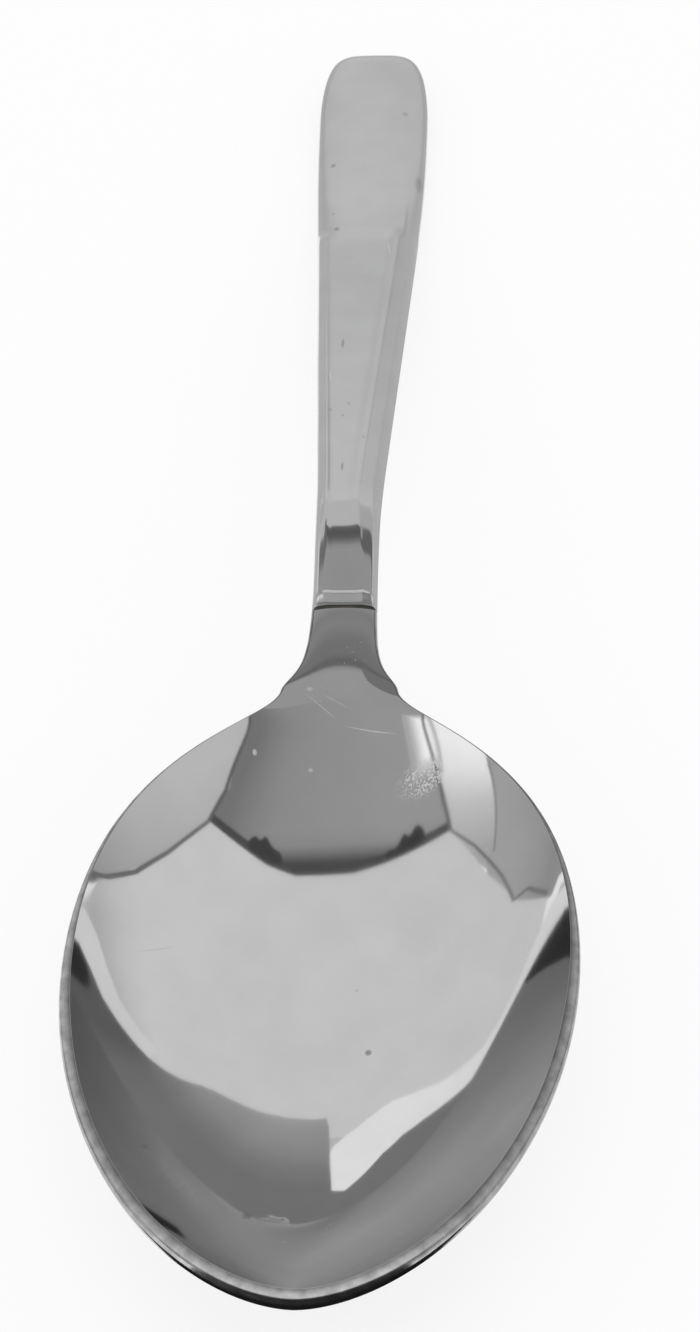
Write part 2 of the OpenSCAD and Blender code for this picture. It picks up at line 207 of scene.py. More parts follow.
def crest(s):
    return bend(s, STEP + CREST_START, CREST_LENGTH)


def open_share(s):
    """Share of the bowl's full depth at station s on the centre line."""
    m = CLOSE / 2
    a = 1 - ((s - m) / m) ** 2
    if s < m:
        return max(a, 0)
    return a + ramp((s - m) / m) * ((a + math.sqrt(a * a + RUN_OUT ** 2)) / 2 - a)


def hollow(c, s):
    return 1 - (1 - open_share(s) * (1 - c * c)) ** (SECTION_ROUNDNESS / 2)


def shank_share(s):
    return ramp((s - BOWL_FRONT) / (STEP - BOWL_FRONT))


def crown(c):
    return 1 - abs(c) ** SHANK_ROUNDNESS


def top(c, s):
    return shank_share(s) * SHANK_TOP * crown(c) - BOWL_DEPTH * hollow(c, s)


def side_height(s):
    return RIM_HEIGHT + (SHANK_SIDE - RIM_HEIGHT) * shank_share(s)


def under(c, s):
    return (-side_height(s) - shank_share(s) * SHANK_UNDER * crown(c)
            - (BOWL_DEPTH + BOWL_WALL - RIM_HEIGHT) * hollow(c, s))


# The spoon rests on the flat under its bowl and on its handle. The lowest place of each is looked for
# at this many stations, all along the bowl and over the handle's farther half.
BOWL_TRIES = 68
HANDLE_TRIES = 90
BOWL_STATIONS = [CLOSE * i / BOWL_TRIES for i in range(BOWL_TRIES + 1)]
HANDLE_STATIONS = [STEP + (TOUCH - STEP) * (1 + i / HANDLE_TRIES) / 2 for i in range(1, HANDLE_TRIES + 1)]
RIM_FOOT = -REST_FLAT - min(rise(s) + under(0, s) for s in BOWL_STATIONS)
CREST_FALL = min(
    (RIM_FOOT + rise(s) + level(s) - SEAM_DROP - SEAM_GAP / 2 - BACK_HEIGHT) / crest(s)
    for s in HANDLE_STATIONS)


def edge(s):
    return RIM_FOOT + rise(s) + level(s) - CREST_FALL * crest(s)


def seam(s):
    return edge(s) - SEAM_DROP


def turned(s):
    return -slope(BOWL_TURN) * bend(STEP + TURN_END - s, 0, TURN_LENGTH)


def centre(s):
    return turned(s) - turned(BOWL_FRONT)


def across(x, s):
    w = half(s)
    return min(max(x / w, -1), 1) if w > 0 else 0


def place(x, s, z):
    return Vector((x + centre(s), s - SPOON / 2, z)) * MM


# Modelling steps
def deselect_all():
    if bpy.context.mode != "OBJECT":
        bpy.ops.object.mode_set(mode="OBJECT")
    bpy.ops.object.select_all(action="DESELECT")


def layered_sheet(name, columns, rows, loops):
    """A flat grid of columns by rows cells, extruded down once for each loop round its border and once
    for the underside. Every vertex keeps its column, row and layer as whole numbers in its place."""
    deselect_all()
    bpy.ops.mesh.primitive_grid_add(x_subdivisions=columns, y_subdivisions=rows, size=1)
    piece = bpy.context.object
    piece.name = piece.data.name = name
    for v in piece.data.vertices:
        v.co = (round((v.co.x + 0.5) * columns), round((v.co.y + 0.5) * rows), 0)
    bpy.ops.object.mode_set(mode="EDIT")
    bpy.ops.mesh.select_all(action="SELECT")
    for _ in range(loops + 1):
        bpy.ops.mesh.extrude_region_move(TRANSFORM_OT_translate={"value": (0, 0, -1)})
    bpy.ops.object.mode_set(mode="OBJECT")
    return piece


def skin(piece, upper, lower, loops):
    """Moves the sheet's vertices: the top layer to upper(column, row), the bottom layer to
    lower(column, row), and each loop to its shares of the way out and of the height between them.
    The share of the way out is kept in the attribute rim_out."""
    last = len(loops) + 1
    rim_out = piece.data.attributes.new("rim_out", "FLOAT", "POINT")
    for v in piece.data.vertices:
        i, j, layer = round(v.co.x), round(v.co.y), round(-v.co.z)
        if layer == 0:
            v.co = upper(i, j)
        elif layer == last:
            v.co = lower(i, j)
        else:
            out, up = loops[layer - 1]
            rim_out.data[v.index].value = out
            a, b = upper(i, j), lower(i, j)
            v.co = (a.x + (b.x - a.x) * out, a.y + (b.y - a.y) * out, b.z + (a.z - b.z) * up)


# Edges sharper than this stay crisp, in degrees
SMOOTH_ANGLE = 35


def finish_solid(piece):
    deselect_all()
    piece.select_set(True)
    bpy.context.view_layer.objects.active = piece
    bpy.ops.object.mode_set(mode="EDIT")
    bpy.ops.mesh.select_all(action="SELECT")
    bpy.ops.mesh.normals_make_consistent(inside=False)
    bpy.ops.mesh.select_all(action="DESELECT")
    bpy.ops.object.mode_set(mode="OBJECT")
    bpy.ops.object.shade_smooth_by_angle(angle=math.radians(SMOOTH_ANGLE))


# The bowl with its shank and tang
TIP_ROW = bowl_outline_s(TIP_ROW_HALF)
RIM_FADE_S = RIM_FADE * BOWL_FRONT
BOWL_COLUMNS = 112
BOWL_ROWS = 150
SHANK_ROWS = 26
TANG_ROWS = 12
# The rim's rounding from its inner edge, out and down: shares of its width and of its side's height
RIM_LOOPS = [(0.05, 0.999), (0.3, 0.993), (0.6, 0.96), (0.8, 0.875), (0.93, 0.73), (1, 0.5), (1, 0.2)]
# The shank's upper edges are eased by this much
SHANK_EASE = 0.4
# How quickly the tip's curve fades out of the rows across the bowl
TIP_CURVE_EASE = 2


def bowl_row(q):
    return TIP_ROW + (CLOSE - TIP_ROW) * q


def bowl_place(q, t):
    """Distance from the centre line and station of the outline's place t on row q."""
    bulge = TIP_ROW - bowl_outline_s(t * TIP_ROW_HALF)
    return t * half(bowl_row(q)), bowl_row(q) - (1 - q) ** TIP_CURVE_EASE * bulge


def drawn_in(s):
    return RIM_TIP_WIDTH + s * (BOWL_FRONT - RIM_TIP_WIDTH) / BOWL_FRONT if s < BOWL_FRONT else s


def rim_share(s):
    """How far out the hollow reaches, as a share of the half-width."""
    width = RIM_WIDTH * (1 - ramp((s - RIM_FADE_S) / (CLOSE - RIM_FADE_S)))
    eased = SHANK_EASE * ramp((s - BOWL_FRONT) / (CLOSE - BOWL_FRONT))
    return 1 - width / BOWL_HALF - eased / half(s) if s > RIM_FADE_S else 1 - width / BOWL_HALF


def tang_half(s):
    return TANG_HALF + (TANG_END_HALF - TANG_HALF) * (s - STEP) / TANG_LENGTH


def bowl_station(j):
    if j <= BOWL_ROWS + SHANK_ROWS:
        return CLOSE + SHANK_LENGTH * (j - BOWL_ROWS) / SHANK_ROWS
    return STEP + TANG_LENGTH * (j - BOWL_ROWS - SHANK_ROWS - 1) / TANG_ROWS


def bowl_upper(i, j):
    t = 2 * i / BOWL_COLUMNS - 1
    if j <= BOWL_ROWS:
        x, s = bowl_place(j / BOWL_ROWS, t)
        s_in = drawn_in(s)
        return place(x * rim_share(s), s_in, edge(s_in) + top(across(x, s), s))
    s = bowl_station(j)
    if j <= BOWL_ROWS + SHANK_ROWS:
        return place(t * half(s) * rim_share(s), s, edge(s) + top(t, s))
    return place(t * tang_half(s), s, seam(s) + TANG_THICKNESS / 2)


def bowl_lower(i, j):
    t = 2 * i / BOWL_COLUMNS - 1
    if j <= BOWL_ROWS:
        x, s = bowl_place(j / BOWL_ROWS, t)
        return place(x, s, max(0, edge(s) + under(across(x, s), s)))
    s = bowl_station(j)
    if j <= BOWL_ROWS + SHANK_ROWS:
        return place(t * half(s), s, edge(s) + under(t, s))
    return place(t * tang_half(s), s, seam(s) - TANG_THICKNESS / 2)


bowl = layered_sheet("spoon_bowl", BOWL_COLUMNS, BOWL_ROWS + SHANK_ROWS + 1 + TANG_ROWS, len(RIM_LOOPS))
skin(bowl, bowl_upper, bowl_lower, RIM_LOOPS)
finish_solid(bowl)

# The two shells of the handle
END_ROW = end_outline_s(END_ROW_HALF)
STEP_ROWS = 8
HANDLE_ROWS = 260
SIDE_COLUMNS = 7
BEVEL_COLUMNS = 6
SLOPE_COLUMNS = 6
PANEL_COLUMNS = 14
# How far the creases are softened to either side, and the weights of the three places that are mixed for it
CREASE_SOFT = 0.16
CREASE_WEIGHTS = ((-1, 0.25), (0, 0.5), (1, 0.25))
# How late the end's curve comes into the rows across the handle
END_CURVE_EASE = 4


def bevel(d, w):
    u = min(max(d / w, 0), 1)
    r = min(u / SIDE_ROUND_WIDTH, 1)
    return SIDE_ROUND_RISE * (1 - (1 - r) ** 2) + (1 - SIDE_ROUND_RISE) * u


def bevel_width(s, w):
    return BEVEL_NECK + (w - BEVEL_NECK) * ramp((s - SHELL) / CREST_LENGTH)


def panelled(x, w, s):
    left, right = bevel_width(s, BEVEL_LEFT), bevel_width(s, BEVEL_RIGHT)
    sunk = (ramp((w + x - left) / (left * PANEL_SLOPE)) * ramp((w - x - right) / (right * PANEL_SLOPE)))
    return bevel(w + x, left) * bevel(w - x, right) - PANEL_DEPTH / FRONT_HEIGHT * sunk


def pillow(c):
    return math.sqrt(max(0, 1 - abs(c) ** PILLOW_ROUNDNESS))


def end_share(s):
    roll = math.sqrt(max(0, 1 - max(0, (s - TOUCH) / END_ROLL) ** 2))
    return ROLL_KEEP + (1 - ROLL_KEEP) * roll


def front_shape(x, s):
    w, p = half(s), 1 - ramp((s - PANEL) / PANEL_FADE + 0.5)
    soft = sum(k * panelled(x + d * CREASE_SOFT, w, s) for d, k in CREASE_WEIGHTS)
    past_edge = panelled(CREASE_SOFT - w, w, s) * CREASE_WEIGHTS[0][1]
    soft -= past_edge * max(0, 1 - (w - abs(x)) / CREASE_SOFT)
    return (p * soft + (1 - p) * pillow(across(x, s))) * end_share(s)


def front_rise(s):
    foot = SEAM_DROP + SHANK_TOP + STEP_FOOT
    return foot + (FRONT_HEIGHT - foot) * ramp((s - SHELL) / STEP_LENGTH)


def shell_columns():
    """Places across the handle, as pairs: a share of the bevel's width from its own edge, and the edge."""
    side = [SIDE_ROUND_WIDTH * k / SIDE_COLUMNS for k in range(SIDE_COLUMNS)]
    side += [SIDE_ROUND_WIDTH + (1 - SIDE_ROUND_WIDTH) * k / BEVEL_COLUMNS for k in range(BEVEL_COLUMNS)]
    side += [1 + PANEL_SLOPE * k / SLOPE_COLUMNS for k in range(SLOPE_COLUMNS + 1)]
    return side


SIDE_PLACES = shell_columns()
SHELL_COLUMNS = 2 * len(SIDE_PLACES) + PANEL_COLUMNS - 2


def shell_x(i, w, s):
    """Distance from the centre line of column i, so that columns run along both creases."""
    count = len(SIDE_PLACES)
    left, right = bevel_width(s, BEVEL_LEFT), bevel_width(s, BEVEL_RIGHT)
    if i < count:
        return SIDE_PLACES[i] * left - w
    if i > SHELL_COLUMNS - count:
        return w - SIDE_PLACES[SHELL_COLUMNS - i] * right
    a, b = SIDE_PLACES[-1] * left - w, w - SIDE_PLACES[-1] * right
    return a + (b - a) * (i - count + 1) / PANEL_COLUMNS


def shell_place(i, j):
    """Distance from the centre line, half-width of the row, and station, on the shells' outline."""
    if j < STEP_ROWS:
        s = SHELL + STEP_LENGTH * j / STEP_ROWS
        return shell_x(i, half(s), s), half(s), s
    q = (j - STEP_ROWS) / HANDLE_ROWS
    row = END_ROW - (END_ROW - SHELL - STEP_LENGTH) * (1 - q) ** ROW_CROWDING
    w = half(row)
    x = shell_x(i, w, row)
    bulge = end_outline_s(x / w * END_ROW_HALF) - END_ROW
    return x, w, row + q ** END_CURVE_EASE * bulge


def shell_point(side, inset, i, j):
    x, w, s = shell_place(i, j)
    s_in = SHELL + (s - SHELL) * (SPOON - inset - SHELL) / (SPOON - SHELL)
    if side > 0:
        height = (front_rise(s) - inset) * front_shape(x, s)
    else:
        height = (BACK_HEIGHT - inset) * pillow(across(x, s)) * end_share(s)
    return place(x * (w - inset) / w, s_in, seam(s_in) + side * (SEAM_GAP / 2 + height))


front_shell = layered_sheet("handle_front", SHELL_COLUMNS, STEP_ROWS + HANDLE_ROWS, 0)
skin(front_shell, lambda i, j: shell_point(1, 0, i, j), lambda i, j: shell_point(1, SHEET, i, j), [])
finish_solid(front_shell)

back_shell = layered_sheet("handle_back", SHELL_COLUMNS, STEP_ROWS + HANDLE_ROWS, 0)
skin(back_shell, lambda i, j: shell_point(-1, SHEET, i, j), lambda i, j: shell_point(-1, 0, i, j), [])
finish_solid(back_shell)


# Materials
def new_material(name):
    material = bpy.data.materials.new(name)
    material.use_nodes = True
    nodes, links = material.node_tree.nodes, material.node_tree.links
    return material, nodes, links, nodes["Principled BSDF"]


def stepped(nodes, links, value, stops):
    """Value turned into a share by straight lines between its (value, share) stops."""
    first, last = stops[0][0], stops[-1][0]
    spread, line = nodes.new("ShaderNodeMapRange"), nodes.new("ShaderNodeFloatCurve")
    spread.inputs["From Min"].default_value = first
    spread.inputs["From Max"].default_value = last
    points = line.mapping.curves[0].points
    while len(points) < len(stops):
        points.new(0.5, 0.5)
    for point, (at, share) in zip(points, stops):
        point.location = ((at - first) / (last - first), share)
        point.handle_type = "VECTOR"
    line.mapping.update()
    links.new(value, spread.inputs["Value"])
    links.new(spread.outputs["Result"], line.inputs["Value"])
    return line.outputs["Value"]


def joined(nodes, links, operation, parts):
    total = parts[0]
    for part in parts[1:]:
        both = nodes.new("ShaderNodeMath")
        both.operation = operation
        links.new(total, both.inputs[0])
        links.new(part, both.inputs[1])
        total = both.outputs["Value"]
    return total


def ranged(nodes, links, value, from_min, from_max, to_min, to_max):
    spread = nodes.new("ShaderNodeMapRange")
    limits = {"From Min": from_min, "From Max": from_max, "To Min": to_min, "To Max": to_max}
    for name, number in limits.items():
        spread.inputs[name].default_value = number
    links.new(value, spread.inputs["Value"])
    return spread.outputs["Result"]


def clouds(nodes, links, where, grain, detail):
    """Noise with about grain lumps to the metre, and detail finer layers on them."""
    cloud = nodes.new("ShaderNodeTexNoise")
    cloud.inputs["Scale"].default_value = grain
    cloud.inputs["Detail"].default_value = detail
    links.new(where, cloud.inputs["Vector"])
    return cloud.outputs["Fac"]


# The share of a mark's reach at which it starts to fade
MARK_CORE = 0.45


def oval(nodes, links, where, centre, reach, turn=0):
    """1 in the middle of a mark and 0 past its reach, both in millimetres, turned by degrees."""
    fit, far = nodes.new("ShaderNodeMapping"), nodes.new("ShaderNodeVectorMath")
    fit.vector_type = "TEXTURE"
    fit.inputs["Location"].default_value = Vector(centre) * MM
    fit.inputs["Rotation"].default_value = (0, 0, math.radians(turn))
    fit.inputs["Scale"].default_value = Vector(reach) * MM
    far.operation = "LENGTH"
    links.new(where, fit.inputs["Vector"])
    links.new(fit.outputs["Vector"], far.inputs[0])
    return ranged(nodes, links, far.outputs["Value"], 1, MARK_CORE, 0, 1)


def scaled(nodes, links, colour, shade):
    tint = nodes.new("ShaderNodeVectorMath")
    tint.operation = "SCALE"
    tint.inputs[0].default_value = colour
    links.new(shade, tint.inputs["Scale"])
    return tint.outputs["Vector"]


# The rim's painted shade by its share of the way out, and wear with painted shade by its place across, in mm
# Dark at the rim's inner edge, lightest over its middle and a little darker at its outer edge: all painted
# shade
RIM_PAINTED_SHADES = [(0, 0.35), (0.06, 0.4), (0.3, 0.72), (0.6, 1), (0.93, 1), (1, 0.9)]
# Darker to the left and the right of the middle: partly wear, partly painted shade
RIM_WEAR_AND_SHADE = [(-30, 0.66), (-20, 0.6), (-12, 0.85), (-5, 1), (6, 1), (12, 0.8), (18, 0.5), (30, 0.5)]
# Where on the way out the wear and painted shade set in
RIM_START = [(0, 0), (0.02, 0.9), (0.05, 1), (1, 1)]
# The rim's mottle: its grain and detail, then the range of its noise and the range of shade that this gives
RIM_MOTTLE = (650, 5)
RIM_MOTTLE_SHADES = (0.35, 0.65, 0.8, 1.2)
RIM_ROUGHER = 0.14


def worn_and_shaded_rim(nodes, links, where):
    """The rim's wear and painted shade, which is 1 off the rim, and what the wear adds to the roughness."""
    out, split = nodes.new("ShaderNodeAttribute"), nodes.new("ShaderNodeSeparateXYZ")
    out.attribute_name = "rim_out"
    links.new(where, split.inputs["Vector"])
    on_rim = stepped(nodes, links, out.outputs["Fac"], RIM_START)
    # The profile and the place across paint shade on the rim; the mottle is its wear
    painted_profile = stepped(nodes, links, out.outputs["Fac"], RIM_PAINTED_SHADES)
    along = stepped(nodes, links, split.outputs["X"], [(x * MM, share) for x, share in RIM_WEAR_AND_SHADE])
    mottle = ranged(nodes, links, clouds(nodes, links, where, *RIM_MOTTLE), *RIM_MOTTLE_SHADES)
    blend = nodes.new("ShaderNodeMix")
    blend.inputs["A"].default_value = 1
    links.new(on_rim, blend.inputs["Factor"])
    links.new(joined(nodes, links, "MULTIPLY", [painted_profile, along, mottle]), blend.inputs["B"])
    return blend.outputs["Result"], ranged(nodes, links, on_rim, 0, 1, 0, RIM_ROUGHER)


# The steel's faint clouds, given like the rim's mottle, and the haze that makes it up to so much rougher
STEEL_CLOUDS = (170, 4)
STEEL_CLOUD_SHADES = (0.3, 0.7, 0.965, 1.02)
STEEL_HAZE = (60, 3)
STEEL_HAZE_NOISE = (0.35, 0.75)
STEEL_HAZE_ROUGHER = 1.8
# What a scratch or a frosted place does: added roughness, and a painted sheen that lightens its colour
SCATTER_ROUGH = 0.35
SCATTER_SHEEN = 1.25
# The detail of a frosted place's flecks, and how softly they end
FLECK_DETAIL = 3
FLECK_FADE = 0.06


def steel(name, colour, rough, pits, scratches, frosted=(), rim_is_worn_and_shaded=False):
    """Polished steel. Pits are dark; scratches and frosted places scatter light and carry a painted sheen."""
    material, nodes, links, shader = new_material(name)
    shader.inputs["Metallic"].default_value = 1
    where = nodes.new("ShaderNodeTexCoord").outputs["Object"]
    shades = [ranged(nodes, links, clouds(nodes, links, where, *STEEL_CLOUDS), *STEEL_CLOUD_SHADES)]
    haze = clouds(nodes, links, where, *STEEL_HAZE)
    roughs = [ranged(nodes, links, haze, *STEEL_HAZE_NOISE, rough, rough * STEEL_HAZE_ROUGHER)]
    for shade, pit in pits:
        shades.append(ranged(nodes, links, oval(nodes, links, where, *pit), 0, 1, 1, shade))
    marks = [oval(nodes, links, where, *scratch) for scratch in scratches]
    for grain, start, spot in frosted:
        cloud = clouds(nodes, links, where, grain, FLECK_DETAIL)
        flecks = ranged(nodes, links, cloud, start, start + FLECK_FADE, 0, 1)
        marks.append(joined(nodes, links, "MULTIPLY", [flecks, oval(nodes, links, where, *spot)]))
    scatter = joined(nodes, links, "MAXIMUM", marks)
    roughs.append(ranged(nodes, links, scatter, 0, 1, 0, SCATTER_ROUGH))
    # Scratches and frosted places are painted lighter as well: a painted sheen
    shades.append(ranged(nodes, links, scatter, 0, 1, 1, SCATTER_SHEEN))
    # The bowl's rim gets its wear and painted shade here
    if rim_is_worn_and_shaded:
        shade, rougher = worn_and_shaded_rim(nodes, links, where)
        shades.append(shade)
        roughs.append(rougher)
    tint = scaled(nodes, links, colour, joined(nodes, links, "MULTIPLY", shades))
    links.new(tint, shader.inputs["Base Color"])
    links.new(joined(nodes, links, "ADD", roughs), shader.inputs["Roughness"])
    return material


# Marks as (centre, reach, turn) in millimetres and degrees. A pit has its shade before that, and a frosted
# place the lumps to the metre and the noise level at which its flecks start.
BOWL_PITS = [
    (0.5, ((5.1, -73.7, 2), (0.5, 0.5, 3))), (0.72, ((-7.3, -96.8, 7.9), (0.6, 0.55, 3))),
    (0.85, ((-18.7, -90, 10.7), (0.5, 0.45, 3))), (0.85, ((3.5, -65.6, 2.3), (0.3, 0.25, 3))),
    (0.88, ((-19.9, -63.9, 8.9), (2.6, 0.1, 5), 28)), (0.96, ((11.1, -57.8, 5.4), (4.5, 5, 6)))]
BOWL_SCRATCHES = [
    ((4.9, -37.1, 15.9), (3.9, 0.08, 5), -11), ((-9.1, -39.9, 15), (0.35, 0.4, 3)),
    ((-2.4, -40.8, 12.5), (0.35, 0.3, 3)), ((-1.2, -34.6, 17.5), (3, 0.06, 5), -32),
    ((0.6, -34.1, 17.5), (2.2, 0.05, 5), -24), ((-2.5, -32.9, 18.5), (0.5, 0.3, 3))]
BOWL_FROSTED = [
    (3600, 0.5, ((10.9, -42.6, 12.8), (3.4, 2.2, 6), 15)),
    (3200, 0.66, ((-1.5, -33.2, 18), (3.6, 1.7, 6), -20)), (2800, 0.66, ((2.6, -28.6, 19.5), (2.2, 4.6, 6)))]
HANDLE_PITS = [
    (0.7, ((-4.4, 81.6, 4.8), (0.5, 0.6, 3))), (0.85, ((6.8, 94, 4.8), (0.6, 0.7, 3))),
    (0.7, ((-3.1, 63.8, 7.4), (0.5, 0.7, 3))), (0.85, ((-3.8, 68.3, 6.5), (0.3, 0.5, 3))),
    (0.7, ((-0.7, 30.7, 15.4), (0.3, 1.5, 3))), (0.7, ((0.6, 0.1, 22.9), (0.25, 1.2, 3))),
    (0.85, ((0.8, 15.1, 19.2), (0.25, 0.5, 3))), (0.85, ((0.1, 12.2, 20), (0.3, 0.4, 3))),
    (0.85, ((-1.6, 13.6, 19.6), (0.25, 0.6, 3))), (0.85, ((3.1, 6.8, 21.5), (0.2, 0.5, 3))),
    (0.82, ((9.2, 77.2, 4.6), (0.8, 2.4, 3)))]
HANDLE_SCRATCHES = [((5, 58, 9), (0.07, 3, 4), 8), ((-2, 22, 17.5), (0.06, 2.4, 4), 4)]

MIRROR_COLOUR = (0.74, 0.74, 0.745)
MIRROR_ROUGH = 0.04
POLISHED_COLOUR = (0.78, 0.78, 0.785)
POLISHED_ROUGH = 0.12
bowl_steel = steel(
    "bowl_mirror_steel", MIRROR_COLOUR, MIRROR_ROUGH,
    BOWL_PITS, BOWL_SCRATCHES, BOWL_FROSTED, rim_is_worn_and_shaded=True)
handle_steel = steel(
    "handle_polished_steel", POLISHED_COLOUR, POLISHED_ROUGH, HANDLE_PITS, HANDLE_SCRATCHES)

for piece, node, slot, material in (
        (bowl, "bowl", "polished_steel_bowl", bowl_steel),
        (front_shell, "handle_front_shell", "polished_steel_handle", handle_steel),
        (back_shell, "handle_back_shell", "polished_steel_handle", handle_steel)):
    piece.data.materials.append(material)
    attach(piece, "root")
    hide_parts(node)


# The braze and the resin: colour, and the clouds' detail, noise, shades and highest factor of roughness
BRAZE_COLOUR = (0.2, 0.19, 0.17)
RESIN_COLOUR = (0.45, 0.38, 0.3)
FILL_DETAIL = 4
FILL_NOISE = (0.3, 0.7)
FILL_SHADES = (0.8, 1.15)
FILL_ROUGHER = 1.3


def dress(node, name, colour, rough, metallic, grain):
    """A cloudy material for a solid that keeps its shape from the part."""
    material, nodes, links, shader = new_material(name)
    cloud = clouds(nodes, links, nodes.new("ShaderNodeTexCoord").outputs["Object"], grain, FILL_DETAIL)
    tint = scaled(nodes, links, colour, ranged(nodes, links, cloud, *FILL_NOISE, *FILL_SHADES))
    links.new(tint, shader.inputs["Base Color"])
    rougher = ranged(nodes, links, cloud, *FILL_NOISE, rough, rough * FILL_ROUGHER)
    links.new(rougher, shader.inputs["Roughness"])
    shader.inputs["Metallic"].default_value = metallic
    for material_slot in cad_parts[node].material_slots:
        material_slot.material = material


dress("neck_braze", "braze_line", BRAZE_COLOUR, rough=0.4, metallic=1, grain=900)
dress("handle_filler", "resin_filler", RESIN_COLOUR, rough=0.55, metallic=0, grain=400)

# Table and light
TABLE_SIZE = 6
TABLE_GREY = 0.95
TABLE_ROUGH = 0.9
# How much of the table the camera and the steel see as plain white
TABLE_WHITE = 0.75

deselect_all()
bpy.ops.mesh.primitive_plane_add(size=TABLE_SIZE)
table = bpy.context.object
table.name = "table"
pale, nodes, links, shader = new_material("pale_table")
shader.inputs["Base Color"].default_value = (TABLE_GREY, TABLE_GREY, TABLE_GREY, 1)
shader.inputs["Roughness"].default_value = TABLE_ROUGH
shader.inputs["Specular IOR Level"].default_value = 0
ray = nodes.new("ShaderNodeLightPath")
white = nodes.new("ShaderNodeEmission")
blend = nodes.new("ShaderNodeMixShader")
seen_white = joined(nodes, links, "MAXIMUM", [ray.outputs["Is Camera Ray"], ray.outputs["Is Glossy Ray"]])
links.new(ranged(nodes, links, seen_white, 0, 1, 0, TABLE_WHITE), blend.inputs["Fac"])
links.new(shader.outputs["BSDF"], blend.inputs[1])
links.new(white.outputs["Emission"], blend.inputs[2])
links.new(blend.outputs["Shader"], nodes["Material Output"].inputs["Surface"])
table.data.materials.append(pale)

world = bpy.data.worlds.new("studio")
bpy.context.scene.world = world
world.use_nodes = True
world.node_tree.nodes["Background"].inputs["Color"].default_value = (1, 1, 1, 1)
world.node_tree.nodes["Background"].inputs["Strength"].default_value = 1

# The cards in the steel

# The room that shows in the polished steel is made of flat cards, which only reflected rays see. Left and
# right in their names are as the bowl shows them, so a card of the left side has a positive X.

# The middle of the bowl, from which the overhead cards are aimed
BOWL_EYE = Vector((0, -70, 8))
# How far along the spoon all cards are set from where their corners say
CARDS_ALONG = 0.7

# Which reflected rays see a card: only first reflections, only later ones, only from near or from far
FIRST = ("Ray Depth", "LESS_THAN", 1.5)
LATER = ("Ray Depth", "GREATER_THAN", 1.5)
NEAR = ("Ray Length", "LESS_THAN", 30 * MM)
FAR = ("Ray Length", "GREATER_THAN", 50 * MM)


def glow(name, levels, seen):
    """A card's grey: a level, times one ramp for each (axis, [(place in mm, level), ...]) after it.

    Each test in seen is a value of the ray, an operation and its limit. Where one fails, the card is clear.
    """
    material = bpy.data.materials.new(name)
    material.use_nodes = True
    nodes, links = material.node_tree.nodes, material.node_tree.links
    nodes.clear()
    light = nodes.new("ShaderNodeEmission")
    out = nodes.new("ShaderNodeOutputMaterial")
    grey, *ramps = levels if isinstance(levels, tuple) else (levels,)
    light.inputs["Color"].default_value = (grey, grey, grey, 1)
    where, split = nodes.new("ShaderNodeTexCoord"), nodes.new("ShaderNodeSeparateXYZ")
    links.new(where.outputs["Object"], split.inputs["Vector"])
    if ramps:
        shares = [stepped(nodes, links, split.outputs[axis], [(at * MM, share) for at, share in stops])
                  for axis, stops in ramps]
        links.new(joined(nodes, links, "MULTIPLY", shares), light.inputs["Strength"])
    path = nodes.new("ShaderNodeLightPath")
    shown = light.outputs["Emission"]
    for output, operation, limit in seen:
        test = nodes.new("ShaderNodeMath")
        clear = nodes.new("ShaderNodeBsdfTransparent")
        mix = nodes.new("ShaderNodeMixShader")
        test.operation = operation
        test.inputs[1].default_value = limit
        links.new(path.outputs[output], test.inputs[0])
        links.new(test.outputs["Value"], mix.inputs["Fac"])
        links.new(clear.outputs["BSDF"], mix.inputs[1])
        links.new(shown, mix.inputs[2])
        shown = mix.outputs["Shader"]
    links.new(shown, out.inputs["Surface"])
    return material


def card(name, corners, levels, *seen):
    """A flat card of light that only the steel sees, with its corners given in millimetres."""
    mesh = bpy.data.meshes.new(name)
    mesh.from_pydata([Vector(c) * MM for c in corners], [], [list(range(len(corners)))])
    piece = bpy.data.objects.new(name, mesh)
    bpy.context.collection.objects.link(piece)
    piece.data.materials.append(glow(name, levels, seen))
    piece.location.y = CARDS_ALONG * MM
    piece.visible_camera = piece.visible_diffuse = piece.visible_shadow = False


def aimed(across_deg, along_deg):
    """The ray that leaves upwards, tilted by these angles towards +X and +Y."""
    tilt = math.radians(math.hypot(across_deg, along_deg))
    heading = math.atan2(across_deg, along_deg)
    flat = math.sin(tilt)
    return Vector((flat * math.sin(heading), flat * math.cos(heading), math.cos(tilt)))


def overhead_card(name, angles, height, levels, *seen):
    rays = [aimed(*pair) for pair in angles]
    card(name, [BOWL_EYE + r * (height - BOWL_EYE.z) / r.z for r in rays], levels, *seen)


def standing_card(name, corners, y, levels, *seen):
    card(name, [(x, y, z) for x, z in corners], levels, *seen)


def level_card(name, x_range, y_range, z, levels, *seen):
    (x0, x1), (y0, y1) = x_range, y_range
    card(name, [(x0, y0, z), (x1, y0, z), (x1, y1, z), (x0, y1, z)], levels, *seen)


def rounded(corners):
    """The outline with its corners cut at a quarter of each side."""
    cut = []
    for k, (ax, ay) in enumerate(corners):
        bx, by = corners[(k + 1) % len(corners)]
        for near, far in ((0.75, 0.25), (0.25, 0.75)):
            cut.append((near * ax + far * bx, near * ay + far * by))
    return cut


def overhead_strip(name, angles, width, height, level):
    """A narrow overhead card along a line of angles, width degrees wide."""
    for k in range(len(angles) - 1):
        (ax, ay), (bx, by) = angles[k], angles[k + 1]
        length = math.hypot(bx - ax, by - ay)
        nx, ny = (ay - by) / length * width / 2, (bx - ax) / length * width / 2
        corners = [(ax + nx, ay + ny), (bx + nx, by + ny), (bx - nx, by - ny), (ax - nx, ay - ny)]
        overhead_card(f"{name}_{k}", corners, height, level, FIRST)


# Heights of the overhead cards. What lies lower hides what lies above it.
LINES_HEIGHT = 490
OVER_HEIGHT = 500
SOFT_HEIGHT = 511
CAMERA_SIDE_HEIGHT = 520
SIDES_HEIGHT = 540

